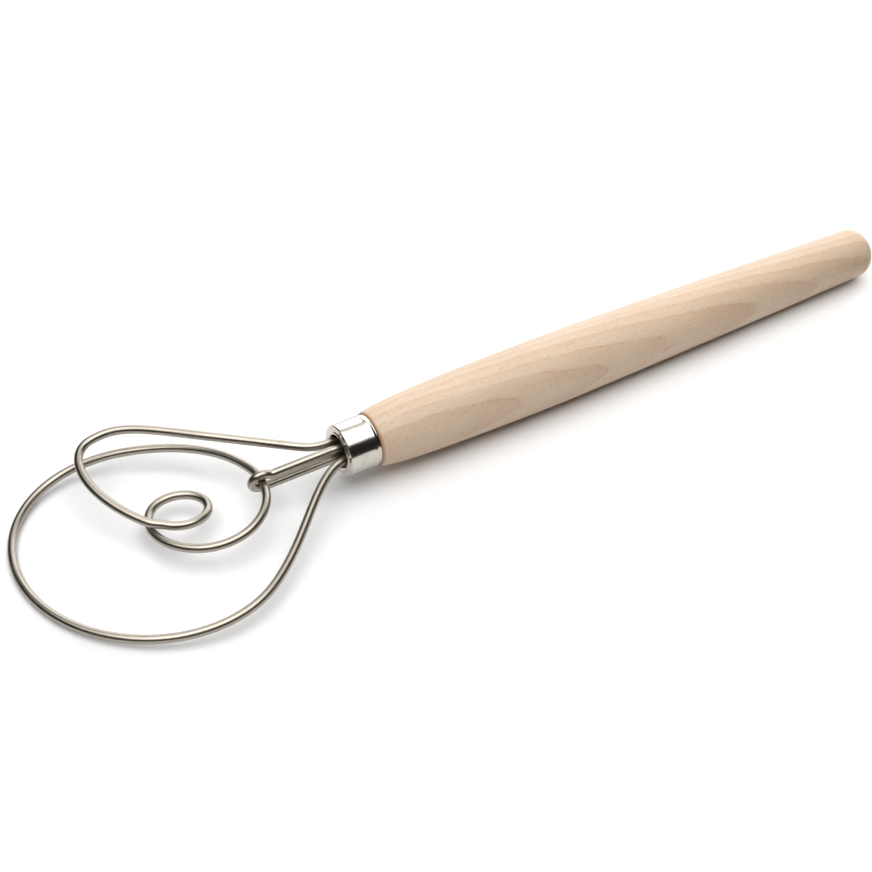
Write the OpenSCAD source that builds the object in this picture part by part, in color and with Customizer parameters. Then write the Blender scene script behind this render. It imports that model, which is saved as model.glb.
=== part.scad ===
// Dough whisk: a flat looped wire head on a turned wooden handle.
// Lengths in millimetres. The handle axis is X: the flat of the butt is at x = 0,
// facing +X, and the head points to -X. +Z is up when the whisk lies on a table.

/* [Handle] */
// Length of the wood that shows, butt to ferrule
handle_len = 222; // [190:1:260]
// Diameter at the fattest place
belly_d = 24.8; // [22:0.2:30]
// Distance of the fattest place from the ferrule
belly_at = 76; // [60:1:95]
// Diameter of the wood where it meets the ferrule
shoulder_d = 19.2; // [19:0.1:21]
// Diameter where the rounding of the butt begins
butt_d = 18.7; // [17:0.1:21]
// Radius of the rounded edge of the butt
butt_round = 5.9; // [3:0.1:7.5]

/* [Ferrule] */
// Outside diameter of the metal ferrule
ferrule_d = 18.3; // [17.8:0.1:18.6]
// Length of the ferrule that shows
ferrule_len = 11.7; // [11:0.1:15]
// Wall of the ferrule
ferrule_wall = 0.65; // [0.5:0.05:0.8]
// Radius of the rolled lip round the wire mouth
lip_r = 0.6; // [0.5:0.05:0.7]
// How far the bead near the wood stands out
bead_h = 0.15; // [0.1:0.05:0.3]

/* [Wires] */
// Thickness of the looped whisk wire
wire_d = 3.0; // [2.6:0.1:3.0]
// Thickness of the stay wire
stay_d = 3.0; // [2.6:0.1:3.0]
// Depth of the wires inside the wood, from the shoulder
wire_in = 26; // [18:1:40]

/* [Looped head] */
// Size of the whole head in percent
head_size = 100; // [97:1:115]
// Half length of the outer loop
outer_a = 39.3; // [38.8:0.1:40.5]
// Half width of the outer loop
outer_b = 47.1; // [46.5:0.1:48.5]
// Half length of the second loop
second_a = 20.1; // [19.9:0.1:20.4]
// Half width of the second loop
second_b = 23.0; // [22.8:0.1:23.2]
// Half length of the small curl
curl_a = 9.7; // [9.5:0.1:9.9]
// Half width of the small curl
curl_b = 8.4; // [8.2:0.1:8.6]
// Half length of the raised third loop
third_a = 14.2; // [14:0.1:14.5]
// Half width of the raised third loop
third_b = 26.5; // [26.2:0.1:27]

/* [Stay] */
// Half length of the eye, to the wire centreline
eye_a = 3.5; // [3.2:0.05:3.8]
// Half height of the eye, to the wire centreline
eye_b = 3.15; // [3.1:0.05:3.3]

/* [Hidden] */
$fn = 96;

wood_c  = [0.80, 0.66, 0.50];
steel_c = [0.78, 0.78, 0.76];
resin_c = [0.16, 0.14, 0.12];

// Up to the modules, x is measured from the shoulder, where wood meets ferrule.
face_x = -ferrule_len;            // front face of the ferrule
spigot_r = ferrule_d/2 - ferrule_wall;
spigot_x = face_x + 1.1;          // front end of the wood inside the ferrule
mouth_r = 5.9;                    // mouth of the ferrule and bore in the wood
bend_in = 2.5;                    // the whisk wire's legs bend this far inside the mouth
plug_x = face_x + bend_in + 0.2;  // front of the resin
plug_past = 3;                    // resin beyond the wire ends
bore_past = 3.5;                  // full bore beyond the wire ends
bore_tip = 3;                     // length of the bore's conical end

// ---------- general functions ----------
function unit(v) = v/norm(v);
function square_to(v, axis) = unit(v - (v*axis)*axis);
function at_x(x, yz) = [x, yz[0], yz[1]];
// A smooth curve of n points, without its last, between two ends with given directions.
// pull holds the control arm at each end as a share of the gap.
function join(start, start_dir, end, end_dir, pull, n) = let (
    gap = norm(end - start),
    start_arm = start + start_dir*gap*pull[0],
    end_arm = end - end_dir*gap*pull[1])
    [for (i = [0 : n - 1]) let (t = i/n, s = 1 - t)
        s*s*s*start + 3*s*s*t*start_arm + 3*s*t*t*end_arm + t*t*t*end];

out_dir = [-1, 0, 0];

// ---------- the whisk wire ----------
// Where its two legs sit in the wood, as [y, z].
near_yz = [-3.6, -0.6];
far_yz = [4.0, 1.5];

// The loops as drawn at 100 percent, each part of a tilted, climbing ellipse:
// [centre, [half length, half width], turn in plan, [from angle, to angle],
//  [slope along x, slope along y], climb over the loop]
outer_loop  = [[-79.8,  3.8, -10.2], [outer_a,  outer_b],   27, [ -86, -315], [ 0.11, -0.02], 2.8];
second_loop = [[-58.8,  8.0,  -6.3], [second_a, second_b],  11, [  -3, -153], [ 0.19, -0.02], 2.7];
curl        = [[-66.9,  8.6,  -7.4], [curl_a,   curl_b],   -14, [ 153, -122], [-0.01,  0],    3.0];
third_loop  = [[-71.5, 22.4,  -2.7], [third_a,  third_b],   24, [-155, -279], [-0.02,  0.02], 4.7];
// The straight run of the far leg, over the outer loop and back to the mouth.
run_from = [-47.3, 27.1, 2.6];
run_to   = [-31.4, 13.9, 2.2];

// A point of the drawn head, grown or shrunk about a point just outside the mouth.
head_scale = head_size/100;
drawn_origin_x = -12.5;
head_x = face_x - 0.8;
function head(p) =
    [head_x + head_scale*(p[0] - drawn_origin_x), head_scale*p[1], head_scale*p[2]];

function loop_pt(loop, angle) = let (
    centre = loop[0], half = loop[1], turn = loop[2],
    span = loop[3], slope = loop[4], climb = loop[5],
    part = (angle - span[0])/(span[1] - span[0]),
    along = half[0]*cos(angle), across = half[1]*sin(angle),
    dx = along*cos(turn) - across*sin(turn),
    dy = along*sin(turn) + across*cos(turn))
    head(centre + [dx, dy, slope[0]*dx + slope[1]*dy + climb*(part - 0.5)]);
function loop_run(loop, n) = let (span = loop[3])
    [for (i = [0 : n - 1]) loop_pt(loop, span[0] + (span[1] - span[0])*i/n)];
function loop_start(loop) = loop_pt(loop, loop[3][0]);
function loop_end(loop) = loop_pt(loop, loop[3][1]);
// Directions at the ends are taken over a small signed step of angle.
function small_step(loop) = 0.01*sign(loop[3][1] - loop[3][0]);
function start_dir(loop) =
    unit(loop_pt(loop, loop[3][0] + small_step(loop)) - loop_start(loop));
function end_dir(loop) =
    unit(loop_end(loop) - loop_pt(loop, loop[3][1] - small_step(loop)));
function link(loop, next, pull, n) =
    join(loop_end(loop), end_dir(loop), loop_start(next), start_dir(next), pull, n);

near_leg = at_x(face_x + bend_in, near_yz);
far_leg  = at_x(face_x + bend_in, far_yz);
run_dir = unit(head(run_to) - head(run_from));

whisk_path = concat(
    [at_x(wire_in, near_yz)],
    join(near_leg, out_dir, loop_start(outer_loop), start_dir(outer_loop), [0.25, 0.42], 18),
    loop_run(outer_loop, 44),
    link(outer_loop, second_loop, [0.2, 0.48], 14),
    loop_run(second_loop, 24),
    link(second_loop, curl, [0.46, 0.28], 10),
    loop_run(curl, 30),
    link(curl, third_loop, [0.32, 0.42], 10),
    loop_run(third_loop, 22),
    join(loop_end(third_loop), end_dir(third_loop), head(run_from), run_dir, [0.29, 0.57], 10),
    join(head(run_to), run_dir, far_leg, -out_dir, [0.66, 0.44], 14),
    [far_leg, at_x(wire_in, far_yz)]);

// ---------- the stay wire ----------
// A hairpin whose two legs lie one above the other, with an eye at its front end.
stay_lean = 100;                  // angle of the stack from +Y towards +Z
stay_h = 2.36;                    // half of the legs' spacing
stay_z = -0.38;                   // height of the middle of the stack at the mouth
stay_bend = 50;                   // radius of the stay's droop just past the mouth
// Centre of the eye as drawn, where the wire between outer and second loop passes.
eye_at = [-38.8, 3.6, -3.45];
neck_turn = 130;                  // angle round the eye where the neck leaves it
neck_len = 4.5;
neck_eye_share = 0.766;           // share of eye_a added to the neck's length

// side is -1 for the low leg, 1 for the high leg.
function stay_yz(side) =
    [side*stay_h*cos(stay_lean), stay_z + side*stay_h*sin(stay_lean)];
// The way from the low leg to the high leg, square to the wire's direction.
function stack_dir(dir) = square_to([0, cos(stay_lean), sin(stay_lean)], dir);

// The middle of the stack bends down past the mouth, then runs straight to droop_to.
eye_centre = head(eye_at);
droop_from = [face_x - 0.5, 0, stay_z];
eye_drop = stay_h - eye_b;        // puts the eye's low side in line with the low leg
droop_to = eye_centre + eye_drop*stack_dir(unit(eye_centre - droop_from));
reach = droop_from[0] - droop_to[0];
offset_yz = [0, droop_to[1], droop_to[2] - stay_z];
sag = norm(offset_yz);
sag_dir = offset_yz/sag;
// Turn at which the straight, leaving the bend as a tangent, meets droop_to.
bend_turn = 2*atan((reach - sqrt(reach*reach + sag*sag - 2*stay_bend*sag))
    /(2*stay_bend - sag));
bend_len = stay_bend*bend_turn*PI/180;
droop_len = bend_len + (reach - stay_bend*sin(bend_turn))/cos(bend_turn);

function turn_at(dist) = min(dist, bend_len)/stay_bend*180/PI;
function dir_at(turn) = cos(turn)*out_dir + sin(turn)*sag_dir;
stay_dir = dir_at(bend_turn);
function droop(dist) = let (turn = turn_at(dist))
    droop_from + stay_bend*sin(turn)*out_dir + stay_bend*(1 - cos(turn))*sag_dir
    + max(0, dist - bend_len)*stay_dir;

// The eye and neck are laid out as [along stay_dir, along eye_up] from droop_to.
eye_up = stack_dir(stay_dir);
function eye_pt(p) = droop_to + p[0]*stay_dir + p[1]*eye_up;
function eye_oval(angle) = [eye_a*cos(angle), eye_b*sin(angle) - eye_drop];
neck_dir = unit([-eye_a*sin(neck_turn), eye_b*cos(neck_turn)]);
neck_back = -eye_a*neck_eye_share - neck_len; // where the legs end

leg_len = droop_len + neck_back;
leg_steps = 11;
function leg_pt(i, side) = let (dist = leg_len*i/leg_steps)
    droop(dist) + side*stay_h*stack_dir(dir_at(turn_at(dist)));

stay_path = concat(
    [at_x(wire_in, stay_yz(-1))],
    [for (i = [0 : leg_steps]) leg_pt(i, -1)],
    [for (i = [1 : 3]) eye_pt([neck_back*(1 - i/4), -stay_h])],
    [for (angle = [-90 : 10 : neck_turn - 10]) eye_pt(eye_oval(angle))],
    [for (p = join(eye_oval(neck_turn), neck_dir, [neck_back, stay_h], [-1, 0],
        [0.42, 0.42], 8)) eye_pt(p)],
    [for (i = [leg_steps : -1 : 0]) leg_pt(i, 1)],
    [at_x(wire_in, stay_yz(1))]);

// ---------- shared shapes ----------
// A round bar bent along a path. side is a direction the path never takes.
module bent_bar(path, d, side) {
    flats = 14;                   // flats round the bar
    n = len(path);
    points = [for (i = [0 : n - 1])
        let (dir = unit(path[min(i + 1, n - 1)] - path[max(i - 1, 0)]),
             across = square_to(side, dir), up = cross(dir, across))
        for (j = [0 : flats - 1])
            path[i] + d/2*(cos(360*j/flats)*across + sin(360*j/flats)*up)];
    skin = [for (i = [0 : n - 2]) for (j = [0 : flats - 1])
        let (this = i*flats + j, beside = i*flats + (j + 1) % flats)
        for (face = [[this, this + flats, beside], [beside, this + flats, beside + flats]])
            face];
    ends = [[for (j = [0 : flats - 1]) j],
            [for (j = [flats - 1 : -1 : 0]) (n - 1)*flats + j]];
    polyhedron(points = points, faces = concat(skin, ends), convexity = 10);
}

// Turned profiles are lists of [radius, distance from the shoulder].
function arc(centre_r, centre_x, r, from, to, n) =
    [for (i = [0 : n]) let (angle = from + (to - from)*i/n)
        [centre_r + r*cos(angle), centre_x + r*sin(angle)]];

module from_shoulder() translate([-handle_len, 0, 0]) children();
// Lays a turned piece, built up Z from the shoulder, along X.
module along_x() from_shoulder() rotate([0, 90, 0]) children();

// ---------- the pieces ----------
butt_x = handle_len - butt_round;  // where the rounding of the butt begins

function wood_r(x) = x < belly_at
    ? let (t = (belly_at - x)/belly_at)
        belly_d/2 - (belly_d - shoulder_d)/2*(pow(t, 2) + pow(t, 8))/2
    : let (t = (x - belly_at)/(butt_x - belly_at))
        belly_d/2 - (belly_d - butt_d)/2*pow(t, 1.25);

// Stations along the wood, closest together near the shoulder.
wood_x = concat(
    [1.5, 3, 5, 7.5, 10.5],
    [for (i = [2 : 15]) belly_at*i/15*0.93 + 5],
    [for (i = [1 : 15]) belly_at + (butt_x - belly_at)*i/15]);

module handle() color(wood_c) along_x() rotate_extrude() {
    chamfer = 0.4;                // front edge of the spigot
    edge_r = 0.45;                // rounded edge of the shoulder
    polygon(concat(
        [[mouth_r, spigot_x], [spigot_r - chamfer, spigot_x]],
        [[spigot_r, spigot_x + chamfer], [spigot_r, 0]],
        arc(shoulder_d/2 - edge_r, edge_r, edge_r, -90, 0, 3),
        [for (x = wood_x) [wood_r(x), x]],
        arc(butt_d/2 - butt_round, butt_x, butt_round, 8, 90, 9),
        [[0, handle_len], [0, wire_in + bore_past + bore_tip]],
        [[mouth_r, wire_in + bore_past]]));
}

module ferrule() color(steel_c) along_x() rotate_extrude() {
    lip_back = 0.25;              // centre of the lip behind the front face
    edge_r = 0.5;                 // rounded front edge
    bead_x = -2.6;                // front of the bead
    bead_len = 2;
    chamfer = 0.25;               // edge against the wood
    polygon(concat(
        [[spigot_r, 0], [spigot_r, face_x + ferrule_wall]],
        arc(mouth_r + lip_r, face_x + lip_back, lip_r,
            asin((ferrule_wall - lip_back)/lip_r), 360 - asin(lip_back/lip_r), 16),
        arc(ferrule_d/2 - edge_r, face_x + edge_r, edge_r, -90, 0, 6),
        [for (i = [0 : 8])
            [ferrule_d/2 + bead_h*(1 - cos(360*i/8))/2, bead_x + bead_len*i/8]],
        [[ferrule_d/2, -chamfer], [ferrule_d/2 - chamfer, 0]]));
}

module whisk_wire() color(steel_c) from_shoulder()
    bent_bar(whisk_path, wire_d, [0, 0, 1]);

module stay_wire() color(steel_c) from_shoulder()
    bent_bar(stay_path, stay_d, cross(stay_dir, eye_up));

// Room for a straight leg; after the turn onto X, local x is -z and local y is y.
module leg_hole(yz, d) translate([-yz[1], yz[0], face_x])
    cylinder(h = wire_in - face_x, d = d);

module bonding_plug() color(resin_c) along_x() difference() {
    translate([0, 0, plug_x]) cylinder(h = wire_in + plug_past - plug_x, r = mouth_r);
    for (yz = [near_yz, far_yz]) leg_hole(yz, wire_d);
    for (side = [-1, 1]) leg_hole(stay_yz(side), stay_d);
}

handle();
ferrule();
whisk_wire();
stay_wire();
bonding_plug();
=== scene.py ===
"""A whisk of bent steel wire, with a stay wire, a ferrule and a turned beech handle.

The handle's axis lies on X with its butt at x = 0 and the whisk toward -X; +Z is up.
Sizes are in mm and x counts from the handle's shoulder, where wood meets ferrule.
to_part() turns such a point into the part's own frame, in metres.
"""
import bpy, math
from collections import namedtuple
from functools import partialmethod
import numpy as np
from mathutils import Matrix


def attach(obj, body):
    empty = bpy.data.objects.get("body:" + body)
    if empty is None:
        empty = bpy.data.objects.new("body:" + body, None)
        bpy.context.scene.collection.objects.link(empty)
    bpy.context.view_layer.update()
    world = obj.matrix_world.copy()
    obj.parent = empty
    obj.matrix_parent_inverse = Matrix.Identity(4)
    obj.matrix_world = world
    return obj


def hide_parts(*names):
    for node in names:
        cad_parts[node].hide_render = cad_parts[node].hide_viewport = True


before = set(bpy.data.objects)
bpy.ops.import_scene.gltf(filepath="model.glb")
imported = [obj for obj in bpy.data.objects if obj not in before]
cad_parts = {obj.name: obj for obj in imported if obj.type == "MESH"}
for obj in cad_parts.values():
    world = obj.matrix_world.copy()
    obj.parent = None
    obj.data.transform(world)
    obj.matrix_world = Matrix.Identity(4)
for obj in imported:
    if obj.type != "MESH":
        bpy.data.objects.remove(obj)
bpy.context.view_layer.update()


# ---------------------------------------------------------------- shared sizes
MM = 0.001
WOOD_L = 222.0              # shoulder to butt
WIRE_D = 3.0                # both wires
WIRE_IN = 26.0              # how far both wires reach into the wood
FACE_X = -11.7              # head end of the ferrule
FERRULE_R = 18.3 / 2
FERRULE_WALL = 0.65
SPIGOT_R = FERRULE_R - FERRULE_WALL
BORE_R = 5.9                # bore of the wood, and mouth of the ferrule
HEADWARD = np.array([-1.0, 0, 0])


def to_part(point):
    x, y, z = point
    return (x - WOOD_L) * MM, y * MM, z * MM


# ---------------------------------------------------------------- curve tools
def unit(v):
    v = np.asarray(v, float)
    return v / np.linalg.norm(v)


def square_to(v, tangent):
    """The unit vector nearest v that is square to the tangent."""
    v = np.asarray(v, float)
    return unit(v - np.dot(v, tangent) * tangent)


def join(start, start_dir, end, end_dir, pull_out, pull_in, step=0.45):
    """Bezier points from start up to, but without, end; pulls are shares of the distance."""
    dist = np.linalg.norm(end - start)
    handle_a = start + start_dir * dist * pull_out
    handle_b = end - end_dir * dist * pull_in
    count = max(6, int(dist / step))
    points = []
    for i in range(count):
        t = i / count
        s = 1 - t
        points.append(s ** 3 * start + 3 * s * s * t * handle_a
                      + 3 * s * t * t * handle_b + t ** 3 * end)
    return points


# Part of an ellipse, angles in degrees. Its height is z at the centre, plus slope_x and
# slope_y per mm, plus a climb spread evenly from start to end.
Oval = namedtuple("Oval", "x y radius_u radius_v tilt start end z slope_x slope_y climb")


def oval_point(oval, angle):
    share = (angle - oval.start) / (oval.end - oval.start)
    u = oval.radius_u * math.cos(math.radians(angle))
    v = oval.radius_v * math.sin(math.radians(angle))
    cos_tilt, sin_tilt = math.cos(math.radians(oval.tilt)), math.sin(math.radians(oval.tilt))
    dx, dy = u * cos_tilt - v * sin_tilt, u * sin_tilt + v * cos_tilt
    z = oval.z + oval.slope_x * dx + oval.slope_y * dy + oval.climb * (share - 0.5)
    return np.array([oval.x + dx, oval.y + dy, z])


def oval_dir(oval, angle):
    nudge = math.copysign(0.01, oval.end - oval.start)
    return unit(oval_point(oval, angle + nudge) - oval_point(oval, angle - nudge))


def oval_run(oval, step):
    sweep = oval.end - oval.start
    length = abs(sweep) * math.pi / 180 * (oval.radius_u + oval.radius_v) / 2
    count = max(8, int(length / step))
    return [oval_point(oval, oval.start + sweep * i / count) for i in range(count)]


# ---------------------------------------------------------------- whisk wire
NEAR_YZ = (-3.6, -0.6)      # the leg on the -Y side
FAR_YZ = (4.0, 1.5)         # the leg on the +Y side
BEND_IN = 2.5               # the legs start to bend this far inside the ferrule's face
STRAIGHT = (np.array([-47.3, 27.1, 2.6]), np.array([-31.4, 13.9, 2.2]))

# oval, step along it, pull out of the piece before, pull into the oval
COILS = (
    (Oval(-79.8, 3.8, 39.3, 47.1, 27, -86, -315, -10.2, 0.11, -0.02, 2.8), 0.45, 0.25, 0.42),
    (Oval(-58.8, 8.0, 20.1, 23.0, 11, -3, -153, -6.3, 0.19, -0.02, 2.7), 0.45, 0.2, 0.48),
    (Oval(-66.9, 8.6, 9.7, 8.4, -14, 153, -122, -7.4, -0.01, 0.0, 3.0), 0.3, 0.46, 0.28),
    (Oval(-71.5, 22.4, 14.2, 26.5, 24, -155, -279, -2.7, -0.02, 0.02, 4.7), 0.45, 0.32, 0.42),
)


def whisk_path():
    """In along the near leg, round the coils, back along a straight and the far leg."""
    at, heading = np.array([FACE_X + BEND_IN, *NEAR_YZ]), HEADWARD
    path = [np.array([x, *NEAR_YZ]) for x in (WIRE_IN, WIRE_IN - 6, 0.0, -5.0)]
    for oval, step, pull_out, pull_in in COILS:
        start, start_dir = oval_point(oval, oval.start), oval_dir(oval, oval.start)
        path += join(at, heading, start, start_dir, pull_out, pull_in) + oval_run(oval, step)
        at, heading = oval_point(oval, oval.end), oval_dir(oval, oval.end)
    first, last = STRAIGHT
    straight_dir = unit(last - first)
    far_leg = np.array([FACE_X + BEND_IN, *FAR_YZ])
    path += join(at, heading, first, straight_dir, 0.29, 0.57)
    path += [first + (last - first) * i / 30 for i in range(30)]
    path += join(last, straight_dir, far_leg, -HEADWARD, 0.66, 0.44)
    path.append(far_leg)
    path += [np.array([x, *FAR_YZ]) for x in (-5.0, 0.0, WIRE_IN - 6, WIRE_IN)]
    return np.array(path)


# ---------------------------------------------------------------- stay wire
# Two legs, one above the other, bend sideways and end in an eye.
EYE = np.array([-38.8, 3.6, -3.45])
EYE_ALONG, EYE_UP = 3.5, 3.15       # the eye's radii
STAY_HALF = 2.36                    # from the middle line to each leg
STAY_START = np.array([FACE_X - 0.5, 0, -0.38])
BEND_R = 50.0
STACK = math.radians(100.0)         # from +Y toward +Z, the way the legs are stacked
STACK_UP = np.array([0, math.cos(STACK), math.sin(STACK)])
NECK_ANGLE = 130                    # where the upper leg leaves the eye, degrees
NECK_L = 4.5
NECK_S = -EYE_ALONG * 0.766 - NECK_L    # start of the neck, along from the eye's centre
LEG_STEPS, NECK_STEPS = 44, 14


def stay_path():
    toward_eye = square_to(STACK_UP, unit(EYE - STAY_START))
    end = EYE + (STAY_HALF - EYE_UP) * toward_eye
    # the middle line: an arc of BEND_R, then straight on to the end
    run = STAY_START[0] - end[0]
    offset = np.array([0, end[1], end[2] - STAY_START[2]])
    shift = math.hypot(offset[1], offset[2])
    side = offset / shift
    turn = 2 * math.atan((run - math.sqrt(run * run + shift * shift - 2 * BEND_R * shift))
                         / (2 * BEND_R - shift))
    arc_l = BEND_R * turn
    end_dir = math.cos(turn) * HEADWARD + math.sin(turn) * side
    end_up = square_to(STACK_UP, end_dir)
    leg_l = arc_l + (run - BEND_R * math.sin(turn)) / math.cos(turn) + NECK_S

    def leg_point(s, height):
        angle = min(s, arc_l) / BEND_R
        tangent = math.cos(angle) * HEADWARD + math.sin(angle) * side
        middle = (STAY_START + BEND_R * math.sin(angle) * HEADWARD
                  + BEND_R * (1 - math.cos(angle)) * side + max(0, s - arc_l) * end_dir)
        return middle + height * square_to(STACK_UP, tangent)

    def eye_point(s, height):
        return end + s * end_dir + height * end_up

    def inside(stations, height):
        return [np.array([x, 0, STAY_START[2]]) + height * STACK_UP for x in stations]

    def round_eye(degrees):
        angle = math.radians(degrees)
        return np.array([EYE_ALONG * math.cos(angle),
                         EYE_UP - STAY_HALF + EYE_UP * math.sin(angle)])

    neck = math.radians(NECK_ANGLE)
    neck_dir = unit([-EYE_ALONG * math.sin(neck), EYE_UP * math.cos(neck)])
    path = inside((WIRE_IN, WIRE_IN - 6, 0, -6), -STAY_HALF)
    path += [leg_point(leg_l * i / LEG_STEPS, -STAY_HALF) for i in range(LEG_STEPS)]
    path += [eye_point(NECK_S * (1 - i / NECK_STEPS), -STAY_HALF) for i in range(NECK_STEPS)]
    path += [eye_point(*round_eye(t)) for t in range(-90, NECK_ANGLE, 5)]
    path += [eye_point(*p) for p in join(round_eye(NECK_ANGLE), neck_dir,
                                         np.array([NECK_S, STAY_HALF]), np.array([-1.0, 0]),
                                         pull_out=0.42, pull_in=0.42, step=0.35)]
    path += [leg_point(leg_l * i / LEG_STEPS, STAY_HALF) for i in range(LEG_STEPS - 1, -1, -1)]
    path += inside((-6, 0, WIRE_IN - 6, WIRE_IN), STAY_HALF)
    return np.array(path)


# ---------------------------------------------------------------- mesh makers
def new_object(name, verts, faces, uvs=None, smooth=True):
    mesh = bpy.data.meshes.new(name)
    mesh.from_pydata(verts, [], faces)
    mesh.validate()
    if uvs is not None:
        layer = mesh.uv_layers.new(name="along")
        for poly in mesh.polygons:
            for loop, vert in zip(poly.loop_indices, poly.vertices):
                layer.data[loop].uv = uvs[vert]
    for poly in mesh.polygons:
        poly.use_smooth = smooth
    ob = bpy.data.objects.new(name, mesh)
    bpy.context.scene.collection.objects.link(ob)
    return ob


def tube(name, path, sides=28):
    """A round wire along the path, without twist. Its UVs are metres along and turns round."""
    last = len(path) - 1
    tangents = [unit(path[min(i + 1, last)] - path[max(i - 1, 0)]) for i in range(last + 1)]
    normal = square_to([0, 0, 1], tangents[0])
    verts, uvs, run = [], [], 0.0
    for i, (point, tangent) in enumerate(zip(path, tangents)):
        normal = square_to(normal, tangent)
        binormal = np.cross(tangent, normal)
        if i:
            run += np.linalg.norm(point - path[i - 1])
        for j in range(sides):
            angle = 2 * math.pi * j / sides
            spoke = math.cos(angle) * normal + math.sin(angle) * binormal
            verts.append(to_part(point + WIRE_D / 2 * spoke))
            uvs.append((run * MM, j / sides))
    faces = []
    for i in range(last):
        for j in range(sides):
            a, b = i * sides + j, i * sides + (j + 1) % sides
            faces.append((a, b, b + sides, a + sides))
    faces.append(tuple(reversed(range(sides))))
    faces.append(tuple(last * sides + j for j in range(sides)))
    ob = new_object(name, verts, faces, uvs)
    for cut_end in (-1, -2):
        ob.data.polygons[cut_end].use_smooth = False
    return ob


def revolve(name, profile, sides, wobble, sharp_angle):
    """Turns a closed profile of (radius, x) about X. Points of radius 0 become poles."""
    verts, rings = [], []
    for radius, x in profile:
        first = len(verts)
        if radius < 1e-6:
            verts.append(to_part((x, 0.0, 0.0)))
        else:
            for j in range(sides):
                angle = 2 * math.pi * j / sides
                r = radius + wobble(radius, x, angle)
                verts.append(to_part((x, r * math.cos(angle), r * math.sin(angle))))
        rings.append(range(first, len(verts)))
    faces = []
    for p, q in zip(rings, rings[1:] + rings[:1]):
        if len(p) == 1 and len(q) == 1:
            continue
        for j in range(sides):
            k = (j + 1) % sides
            if len(p) == 1:
                faces.append((p[0], q[k], q[j]))
            elif len(q) == 1:
                faces.append((p[j], p[k], q[0]))
            else:
                faces.append((p[j], p[k], q[k], q[j]))
    ob = new_object(name, verts, faces)
    bpy.context.view_layer.objects.active = ob
    for other in bpy.context.selected_objects:
        other.select_set(False)
    ob.select_set(True)
    bpy.ops.object.shade_smooth_by_angle(angle=math.radians(sharp_angle))
    ob.select_set(False)
    return ob


def arc(centre_r, centre_x, radius, start, end, steps):
    """Profile points on an arc; 0 degrees points outward and 90 toward the butt."""
    angles = [math.radians(start + (end - start) * i / steps) for i in range(steps + 1)]
    return [(centre_r + radius * math.cos(a), centre_x + radius * math.sin(a)) for a in angles]


# ---------------------------------------------------------------- turned handle
SPIGOT_X = FACE_X + 1.1             # head end of the spigot inside the ferrule
BELLY_D, BELLY_X = 24.8, 76.0       # the thickest place
SHOULDER_D, SHOULDER_ROUND = 19.2, 0.45
BUTT_D, BUTT_ROUND = 18.7, 5.9


def turned_r(x):
    if x < BELLY_X:
        t = (BELLY_X - x) / BELLY_X
        return BELLY_D / 2 - (BELLY_D - SHOULDER_D) / 2 * (t ** 2 + t ** 8) / 2
    t = (x - BELLY_X) / (WOOD_L - BUTT_ROUND - BELLY_X)
    return BELLY_D / 2 - (BELLY_D - BUTT_D) / 2 * t ** 1.25


def wood_wobble(r, x, angle):
    """Shallow flats from hand sanding; none on the spigot, the butt's end or the bore."""
    if r < 9.0 and x < 1.0 or x > WOOD_L - 0.2 or abs(r - BORE_R) < 1e-3:
        return 0.0
    return (0.018 * math.sin(3 * angle + 0.05 * x) + 0.014 * math.sin(5 * angle - 0.11 * x + 1.3)
            + 0.010 * math.sin(0.9 * x + 2 * angle) - 0.012)


def make_handle():
    profile = [(BORE_R, SPIGOT_X), (SPIGOT_R - 0.4, SPIGOT_X), (SPIGOT_R, SPIGOT_X + 0.4),
               (SPIGOT_R, -0.6), (SPIGOT_R, 0.0)]
    profile += arc(SHOULDER_D / 2 - SHOULDER_ROUND, SHOULDER_ROUND, SHOULDER_ROUND, -90, 0, 8)
    profile += [(turned_r(x), x) for x in np.arange(0.8, WOOD_L - BUTT_ROUND - 0.3, 0.9)]
    profile += arc(BUTT_D / 2 - BUTT_ROUND, WOOD_L - BUTT_ROUND, BUTT_ROUND, 2, 90, 26)
    profile += [(2.2, WOOD_L), (1.1, WOOD_L), (0.0, WOOD_L)]
    # the bore, from its conical end back to the spigot
    profile += [(0.0, WIRE_IN + 6.5), (BORE_R, WIRE_IN + 3.5)]
    profile += [(BORE_R, x) for x in (20.0, 10.0, 0.0, -6.0)]
    return revolve("turned_handle", profile, 176, wood_wobble, sharp_angle=50)


# ---------------------------------------------------------------- drawn ferrule
LIP_R, LIP_SET = 0.6, 0.25          # lip round the mouth: its radius, and centre behind the face
EDGE_R = 0.5                        # rounding of the outer edge
BEAD_H, BEAD_X = 0.15, -2.6         # raised ring: its height, and where it starts


def ferrule_wobble(r, x, angle):
    if r > 8.9 and -10.5 < x < -3.0:
        return 0.012 * math.sin(4 * angle + 0.3 * x) + 0.008 * math.sin(7 * angle - 0.5 * x)
    return 0.0


def make_ferrule():
    inner_x = FACE_X + FERRULE_WALL
    profile = [(SPIGOT_R, x) for x in (0.0, -4.0, -8.0, inner_x)] + [(7.4, inner_x)]
    profile += arc(BORE_R + LIP_R, FACE_X + LIP_SET, LIP_R,
                   math.degrees(math.asin((FERRULE_WALL - LIP_SET) / LIP_R)),
                   360 - math.degrees(math.asin(LIP_SET / LIP_R)), 26)
    profile += [(7.3, FACE_X), (8.0, FACE_X)]
    profile += arc(FERRULE_R - EDGE_R, FACE_X + EDGE_R, EDGE_R, -90, 0, 12)
    profile += [(FERRULE_R, x) for x in (-9.5, -8.0, -6.0, -4.5, -3.2)]
    profile += [(FERRULE_R + BEAD_H * (1 - math.cos(math.pi * i / 10)) / 2, BEAD_X + 0.1 * i)
                for i in range(21)]
    profile += [(FERRULE_R, -0.25), (FERRULE_R - 0.08, -0.08), (FERRULE_R - 0.25, 0.0)]
    return revolve("drawn_ferrule", profile, 200, ferrule_wobble, sharp_angle=45)


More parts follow.
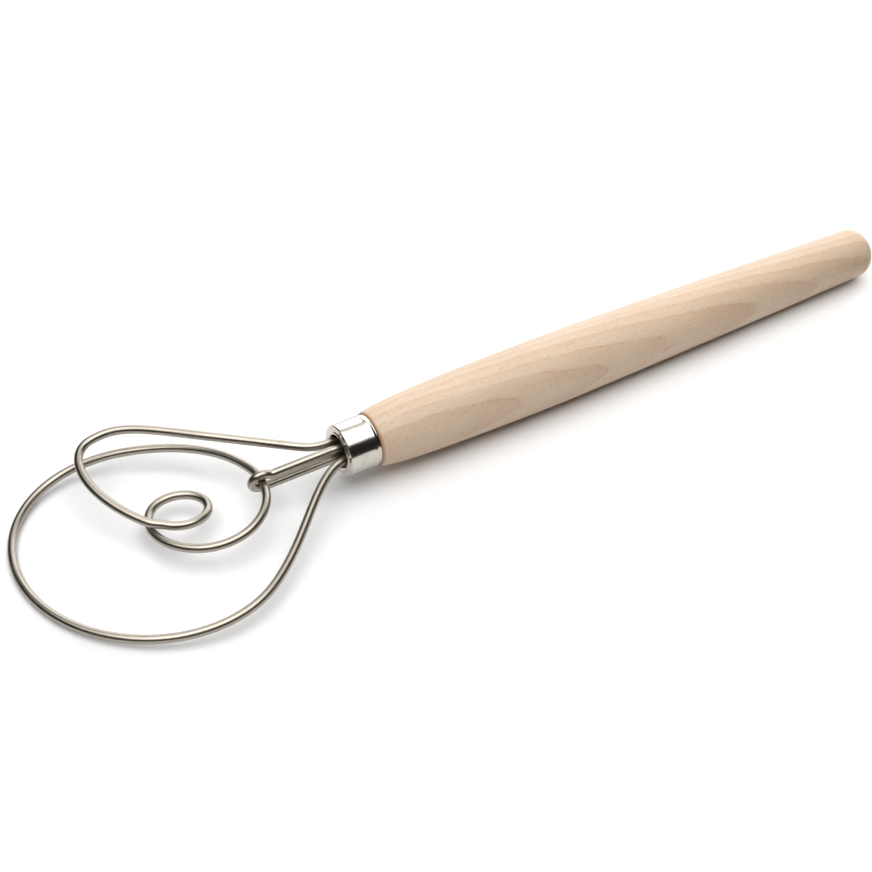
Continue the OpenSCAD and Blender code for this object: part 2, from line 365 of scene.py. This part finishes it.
handle = make_handle()
ferrule = make_ferrule()
whisk = whisk_path()
whisk_wire = tube("bent_whisk_wire", whisk)
stay_wire = tube("bent_stay_wire", stay_path())


# ---------------------------------------------------------------- shader tools
class Tree:
    """Adds nodes to a cleared node tree; values may be sockets or constants."""

    def __init__(self, tree):
        self.tree = tree
        tree.nodes.clear()

    def new(self, kind, **props):
        node = self.tree.nodes.new(kind)
        for key, value in props.items():
            setattr(node, key, value)
        return node

    def put(self, socket, value):
        if hasattr(value, "is_output"):
            self.tree.links.new(value, socket)
        elif value is not None:
            socket.default_value = value

    def fill(self, node, *values):
        for socket, value in zip(node.inputs, values):
            self.put(socket, value)
        return node.outputs[0]

    def calc(self, operation, a, b=None):
        return self.fill(self.new("ShaderNodeMath", operation=operation), a, b)

    add = partialmethod(calc, "ADD")
    sub = partialmethod(calc, "SUBTRACT")
    mul = partialmethod(calc, "MULTIPLY")
    div = partialmethod(calc, "DIVIDE")

    def vec(self, x, y, z):
        return self.fill(self.new("ShaderNodeCombineXYZ"), x, y, z)

    def around(self, along, angle, radius):
        """Coordinates on a cylinder, so that a texture has no seam."""
        return self.vec(along, self.mul(self.calc("COSINE", angle), radius),
                        self.mul(self.calc("SINE", angle), radius))

    def vmath(self, operation, a, b=None):
        return self.fill(self.new("ShaderNodeVectorMath", operation=operation), a, b)

    def xyz(self, vector):
        node = self.new("ShaderNodeSeparateXYZ")
        self.put(node.inputs[0], vector)
        return node.outputs

    def mm(self):
        """Object coordinates in mm from the shoulder."""
        point = self.vmath("SCALE", self.new("ShaderNodeTexCoord").outputs["Object"])
        point.node.inputs["Scale"].default_value = 1 / MM
        return self.vmath("ADD", point, (WOOD_L, 0.0, 0.0))

    def noise(self, vector, scale=1.0, detail=2.0, rough=0.5):
        node = self.new("ShaderNodeTexNoise")
        for key, value in (("Vector", vector), ("Scale", scale), ("Detail", detail),
                           ("Roughness", rough)):
            self.put(node.inputs[key], value)
        return node.outputs[0]

    def ramp(self, factor, stops):
        """A ramp of greys from (position, grey) stops."""
        node = self.new("ShaderNodeValToRGB")
        elements = node.color_ramp.elements
        while len(elements) > 1:
            elements.remove(elements[-1])
        elements[0].position = stops[0][0]
        for i, (position, grey) in enumerate(stops):
            element = elements.new(position) if i else elements[0]
            element.color = (grey, grey, grey, 1.0)
        return self.fill(node, factor)

    def fade(self, value, start, stop, low=0.0, high=1.0, kind="SMOOTHSTEP"):
        """Goes from low at start to high at stop."""
        node = self.new("ShaderNodeMapRange", interpolation_type=kind, clamp=True)
        return self.fill(node, value, start, stop, low, high)

    def mix(self, amount, under, over):
        node = self.new("ShaderNodeMix", data_type="RGBA", blend_type="MIX")
        self.put(node.inputs[0], amount)
        for slot, value in ((6, under), (7, over)):
            self.put(node.inputs[slot], (*value, 1.0) if isinstance(value, tuple) else value)
        return node.outputs[2]


def material(name):
    mat = bpy.data.materials.new(name)
    mat.use_nodes = True
    tree = Tree(mat.node_tree)
    output = tree.new("ShaderNodeOutputMaterial")
    shader = tree.new("ShaderNodeBsdfPrincipled")
    tree.put(output.inputs[0], shader.outputs[0])
    return mat, tree, shader


def finish(tree, shader, base, rough, height, distance, strength):
    """Sets colour, roughness and a bump; distance is in metres."""
    tree.put(shader.inputs["Base Color"], base)
    tree.put(shader.inputs["Roughness"], rough)
    bump = tree.new("ShaderNodeBump")
    bump.inputs["Strength"].default_value = strength
    bump.inputs["Distance"].default_value = distance
    tree.put(bump.inputs["Height"], height)
    tree.put(shader.inputs["Normal"], bump.outputs[0])


# ---------------------------------------------------------------- beech
PITH = 46.0                         # from the tree's centre to the handle's axis
PITH_TURN = math.radians(8.0)       # turn of the growth rings about X
RING_LEAN = -0.075                  # shift of the rings per mm along X
# ring borders, measured from the axis away from the pith
RINGS = [-30.0, -27.4, -24.3, -22.1, -19.0, -16.4, -13.2, -10.0,
         -7.0, -4.05, -1.02, 2.87, 5.73, 8.3, 10.6, 14.0]
# waviness of the rings: grain length along X, width across, detail, roughness, swing
RING_WAVES = ((34.0, 8.0, 2.0, 0.5, 1.7), (9.0, 1.6, 3.0, 0.5, 0.50),
              (5.5, 0.42, 3.0, 0.65, 0.55))
# across one ring: position, strength
RING_TONE = [(0.0, 0.62), (0.07, 0.92), (0.16, 1.0), (0.32, 0.66), (0.56, 0.30),
             (0.78, 0.06), (0.88, 0.0), (0.95, 0.22), (1.0, 0.62)]
RING_OUTLINE = [(0.0, 1.0), (0.035, 0.35), (0.08, 0.0), (0.94, 0.0), (0.985, 0.6), (1.0, 1.0)]


def beech():
    mat, tree, shader = material("oiled_beech")
    add, sub, mul, calc, fade, mix = (tree.add, tree.sub, tree.mul, tree.calc, tree.fade,
                                      tree.mix)
    x, y, z = tree.xyz(tree.mm())

    def stretch(along, across):
        return tree.vec(tree.div(x, along), tree.div(y, across), tree.div(z, across))

    def grain(along, across, detail=2.0, rough=0.5):
        return tree.noise(stretch(along, across), detail=detail, rough=rough)

    def spots(along, across, edge, core, channel, rare, common):
        """Cells that fade in from edge to core; a random channel chooses which ones show."""
        node = tree.new("ShaderNodeTexVoronoi")
        tree.put(node.inputs["Vector"], stretch(along, across))
        node.inputs["Scale"].default_value = 1.0
        shape = fade(node.outputs["Distance"], start=edge, stop=core)
        return mul(shape, fade(tree.xyz(node.outputs["Color"])[channel], rare, common))

    # distance from the pith, made wavy
    cos_turn, sin_turn = math.cos(PITH_TURN), math.sin(PITH_TURN)
    toward = add(mul(y, -cos_turn), mul(z, sin_turn))
    across = add(mul(y, sin_turn), mul(z, cos_turn))
    depth = sub(calc("SQRT", add(calc("POWER", add(toward, PITH), 2.0),
                                 calc("POWER", across, 2.0))), PITH)
    depth = add(depth, mul(x, RING_LEAN))
    for length, width, detail, rough, swing in RING_WAVES:
        depth = add(depth, mul(sub(grain(length, width, detail, rough), 0.5), swing))

    # the curve turns that distance into a ring count
    curve = tree.new("ShaderNodeFloatCurve")
    points = curve.mapping.curves[0].points
    low, span, count = RINGS[0], RINGS[-1] - RINGS[0], len(RINGS) - 1
    points[0].location = (0.0, 0.0)
    points[1].location = (1.0, 1.0)
    for i, border in enumerate(RINGS[1:-1], 1):
        points.new((border - low) / span, i / count)
    for point in points:
        point.handle_type = "VECTOR"
    curve.mapping.update()
    tree.put(curve.inputs["Value"], tree.div(sub(depth, low), span))
    index = mul(curve.outputs[0], float(count))
    in_ring = calc("FRACT", index)
    tone = tree.ramp(in_ring, RING_TONE)
    ring_random = tree.new("ShaderNodeTexWhiteNoise", noise_dimensions="1D")
    tree.put(ring_random.inputs["W"], calc("FLOOR", index))
    tone = mul(tone, fade(ring_random.outputs[0], start=0.0, stop=1.0, low=0.65, high=1.0,
                          kind="LINEAR"))

    # fibres, mottling and clouds, all long in X
    fibre = grain(along=9.0, across=0.30, detail=3.0, rough=0.6)
    coarse = grain(along=30.0, across=1.1)
    cloud = grain(along=40.0, across=14.0, detail=1.0)
    mottle = grain(along=2.2, across=0.50, detail=3.0, rough=0.65)
    base = mix(tone, under=(0.640, 0.498, 0.352), over=(0.560, 0.390, 0.258))
    # source, start, stop, greatest amount, colour
    for source, start, stop, high, tint in (
            (fibre, 0.35, 0.70, 0.30, (0.54, 0.365, 0.240)),
            (coarse, 0.40, 0.75, 0.22, (0.57, 0.390, 0.260)),
            (mottle, 0.42, 0.66, 0.34, (0.525, 0.340, 0.215)),
            (mottle, 0.44, 0.28, 0.30, (0.715, 0.572, 0.415)),
            (cloud, 0.40, 0.70, 0.25, (0.700, 0.537, 0.383))):
        base = mix(fade(source, start, stop, high=high), base, tint)

    # pink ring outlines broken along their length, ray flecks, longer streaks, pores,
    # and the scorched corner at the shoulder
    outline = mul(tree.ramp(in_ring, RING_OUTLINE),
                  fade(grain(along=4.5, across=1.4), start=0.38, stop=0.56))
    fleck = spots(along=3.0, across=0.78, edge=0.30, core=0.12, channel=0, rare=0.55, common=0.95)
    streak = spots(along=8.0, across=1.15, edge=0.34, core=0.10, channel=1, rare=0.70, common=0.95)
    pore = spots(along=1.3, across=0.32, edge=0.30, core=0.12, channel=1, rare=0.45, common=0.6)
    burn = mul(fade(x, start=0.95, stop=0.35), 1.0)
    # mask, greatest amount, colour
    for mask, amount, tint in ((outline, 0.66, (0.50, 0.270, 0.160)),
                               (fleck, 0.72, (0.43, 0.215, 0.118)),
                               (streak, 0.40, (0.52, 0.300, 0.180)),
                               (pore, 0.20, (0.36, 0.22, 0.13)),
                               (burn, 0.85, (0.42, 0.205, 0.088))):
        base = mix(mul(mask, amount), base, tint)
    shader.inputs["Specular IOR Level"].default_value = 0.9
    shader.inputs["Sheen Weight"].default_value = 0.16
    finish(tree, shader, base, rough=add(0.46, mul(fibre, 0.16)),
           height=sub(mul(fibre, 0.6), mul(pore, 0.8)), distance=0.00006, strength=0.5)
    return mat


# ---------------------------------------------------------------- metals and resin
def steel_wire():
    mat, tree, shader = material("drawn_stainless_wire")
    add, mul, fade = tree.add, tree.mul, tree.fade
    uv = tree.xyz(tree.new("ShaderNodeUVMap", uv_map="along").outputs[0])
    along = mul(uv[0], 1 / MM)
    angle = mul(uv[1], 2 * math.pi)
    # drawing marks, long along the wire
    draw = tree.noise(tree.around(tree.div(along, 26.0), angle, radius=3.2),
                      scale=3.0, detail=3.0, rough=0.6)
    blot = tree.noise(tree.mm(), scale=0.16, detail=3.0, rough=0.55)
    base = tree.mix(fade(draw, start=0.35, stop=0.70),
                    under=(0.395, 0.360, 0.309), over=(0.325, 0.294, 0.248))
    base = tree.mix(fade(blot, start=0.45, stop=0.72, high=0.5), base, (0.318, 0.278, 0.228))
    shader.inputs["Metallic"].default_value = 1.0
    rough = add(add(0.24, mul(draw, 0.08)), fade(blot, start=0.45, stop=0.75, high=0.08))
    finish(tree, shader, base, rough, height=draw, distance=0.00002, strength=0.35)
    return mat


def ferrule_steel():
    mat, tree, shader = material("polished_ferrule")
    add, mul, fade = tree.add, tree.mul, tree.fade
    point = tree.mm()
    x, y, z = tree.xyz(point)
    # turning lines round the axis, blotches, and scratches
    lines = tree.noise(tree.around(mul(x, 9.0), tree.calc("ARCTAN2", z, y), radius=0.5),
                       detail=3.0, rough=0.6)
    blot = tree.noise(point, scale=0.35, detail=3.0, rough=0.6)
    scratch = tree.noise(tree.vec(mul(x, 1.2), mul(y, 0.4), mul(z, 3.0)), detail=4.0, rough=0.7)
    base = tree.mix(fade(blot, start=0.4, stop=0.7),
                    under=(0.598, 0.567, 0.508), over=(0.532, 0.501, 0.446))
    base = tree.mix(fade(scratch, start=0.66, stop=0.74, high=0.25), base, (0.36, 0.335, 0.29))
    shader.inputs["Metallic"].default_value = 1.0
    rough = add(add(0.13, mul(lines, 0.07)), fade(blot, start=0.5, stop=0.8, high=0.08))
    finish(tree, shader, base, rough, height=add(lines, mul(blot, 0.6)),
           distance=0.000012, strength=0.25)
    return mat


def resin():
    mat, tree, shader = material("potting_resin")
    lumps = tree.noise(tree.mm(), scale=0.9, detail=4.0, rough=0.6)
    base = tree.mix(tree.fade(lumps, start=0.3, stop=0.7),
                    under=(0.035, 0.028, 0.022), over=(0.085, 0.066, 0.05))
    finish(tree, shader, base, rough=tree.add(0.35, tree.mul(lumps, 0.4)),
           height=lumps, distance=0.0003, strength=0.6)
    return mat


def white_board():
    mat, tree, shader = material("white_board")
    cloud = tree.noise(tree.mm(), scale=0.6, detail=3.0, rough=0.6)
    tree.put(shader.inputs["Base Color"],
             tree.mix(tree.fade(cloud, start=0.3, stop=0.7),
                      under=(0.815, 0.815, 0.815), over=(0.803, 0.803, 0.804)))
    shader.inputs["Roughness"].default_value = 0.85
    shader.inputs["Specular IOR Level"].default_value = 0.1
    return mat


def set_material(ob, mat):
    ob.data.materials.clear()
    ob.data.materials.append(mat)


wood, wire, polished, potting = beech(), steel_wire(), ferrule_steel(), resin()
for ob, mat in ((handle, wood), (ferrule, polished), (whisk_wire, wire), (stay_wire, wire),
                (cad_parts["bonding_plug"], potting)):
    set_material(ob, mat)

for ob, node, slot in ((handle, "handle", "beech"), (ferrule, "ferrule", "polished_steel"),
                       (whisk_wire, "whisk_wire", "stainless_wire"),
                       (stay_wire, "stay_wire", "stainless_wire")):
    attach(ob, "root")
    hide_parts(node)

# ---------------------------------------------------------------- camera
# Camera axes are right, down and forward.
LOOK_DOWN = math.radians(40.9)
HANDLE_AWAY = 0.415                 # forward share of the handle's direction
HANDLE_RISE = math.radians(21.48)   # its slope in the view, rising to the right
SHOULDER_SEEN = np.array([-22.43289, 1.25839, 570.46980])   # the shoulder from the camera, mm
SENSOR, LENS = 36.0, 70.183486

flat = math.sqrt(1 - HANDLE_AWAY * HANDLE_AWAY)
x_seen = np.array([flat * math.cos(HANDLE_RISE), -flat * math.sin(HANDLE_RISE), HANDLE_AWAY])
y_seen = unit(np.cross([0, -math.cos(LOOK_DOWN), -math.sin(LOOK_DOWN)], x_seen))
part_seen = np.array([x_seen, y_seen, np.cross(x_seen, y_seen)])
eye_pos = -part_seen @ SHOULDER_SEEN
right, down, forward = part_seen.T

cam = bpy.data.cameras.new("photo_view")
cam.sensor_width = SENSOR
cam.lens = LENS
cam.clip_start, cam.clip_end = 0.01, 20.0
camera = bpy.data.objects.new("photo_view", cam)
bpy.context.scene.collection.objects.link(camera)
camera.matrix_world = Matrix([*zip(right, -down, -forward, to_part(eye_pos)), (0, 0, 0, 1)])
bpy.context.scene.camera = camera

# ---------------------------------------------------------------- table
# The plane z = height + slope * x that carries the handle and the whisk.
CLEARANCE = 0.02
SHEET = 1.12                        # size of the table against the camera's view


def height_under_handle(slope):
    return min(-turned_r(x) - slope * x for x in np.arange(2.0, WOOD_L - BUTT_ROUND, 0.5))


def table_slope():
    low, high = 0.0, 0.05
    for _ in range(50):
        middle = (low + high) / 2
        height = height_under_handle(middle)
        gap = min(p[2] - WIRE_D / 2 - (height + middle * p[0]) for p in whisk[::3])
        if gap < CLEARANCE:
            low = middle
        else:
            high = middle
    return (low + high) / 2


slope = table_slope()
height = height_under_handle(slope) - CLEARANCE
reach = SHEET * SENSOR / (2 * LENS)
corners = []
for u, v in ((-1, 1), (1, 1), (1, -1), (-1, -1)):
    ray = right * u * reach + down * v * reach + forward
    dist = (height + slope * eye_pos[0] - eye_pos[2]) / (ray[2] - slope * ray[0])
    corners.append(to_part(eye_pos + dist * ray))
table = new_object("table", corners, [(0, 1, 2, 3)], smooth=False)
set_material(table, white_board())

# ---------------------------------------------------------------- light
# A soft box overhead, a tall window on the +X +Y side, dark elsewhere.
BOX_LIGHT, WINDOW_LIGHT, DARK = 3.2, 2.5, 0.018
BACKDROP = 1.1                      # what the camera itself sees past the table


def light_studio():
    world = bpy.data.worlds.new("studio")
    bpy.context.scene.world = world
    world.use_nodes = True
    tree = Tree(world.node_tree)
    add, mul, fade, calc = tree.add, tree.mul, tree.fade, tree.calc
    output = tree.new("ShaderNodeOutputWorld")
    light = tree.new("ShaderNodeBackground")
    generated = tree.new("ShaderNodeTexCoord").outputs["Generated"]
    x, y, z = tree.xyz(tree.vmath("NORMALIZE", generated))

    # the box, on a plane overhead; it fades quickly toward -Y and slowly toward +Y
    up = calc("MAXIMUM", z, 0.02)
    u, v = tree.div(x, up), tree.div(y, up)
    box = mul(mul(fade(u, start=-1.04, stop=-0.64), fade(u, start=0.80, stop=0.40)),
              mul(fade(v, start=-0.96, stop=-0.46), fade(v, start=1.0, stop=0.15)))
    box = mul(box, tree.sub(1.0, mul(v, 0.35)))
    box = mul(box, fade(z, start=0.1, stop=0.2))

    def degrees(a, b):
        return mul(calc("ARCTAN2", a, b), 180 / math.pi)

    def between(value, low, high, soft):
        return mul(fade(value, low - soft, low + soft), fade(value, high + soft, high - soft))

    # the window, by elevation and by azimuth: 0 is -Y and 90 is +X
    elevation = degrees(z, calc("SQRT", add(mul(x, x), mul(y, y))))
    azimuth = degrees(x, mul(y, -1.0))
    window = mul(between(azimuth, low=98.0, high=172.0, soft=12.0),
                 between(elevation, low=-4.0, high=44.0, soft=6.0))
    glow = add(add(mul(box, BOX_LIGHT), mul(window, WINDOW_LIGHT)), DARK)
    tree.put(light.inputs["Color"], tree.vec(glow, glow, glow))

    backdrop = tree.new("ShaderNodeBackground")
    backdrop.inputs["Color"].default_value = (1, 1, 1, 1)
    backdrop.inputs["Strength"].default_value = BACKDROP
    is_camera = tree.new("ShaderNodeLightPath").outputs["Is Camera Ray"]
    mixed = tree.fill(tree.new("ShaderNodeMixShader"), is_camera, light.outputs[0],
                      backdrop.outputs[0])
    tree.put(output.inputs[0], mixed)


light_studio()
view = bpy.context.scene.view_settings
view.view_transform = "Standard"
view.look = "None"
view.exposure = 0.0
view.gamma = 1.0
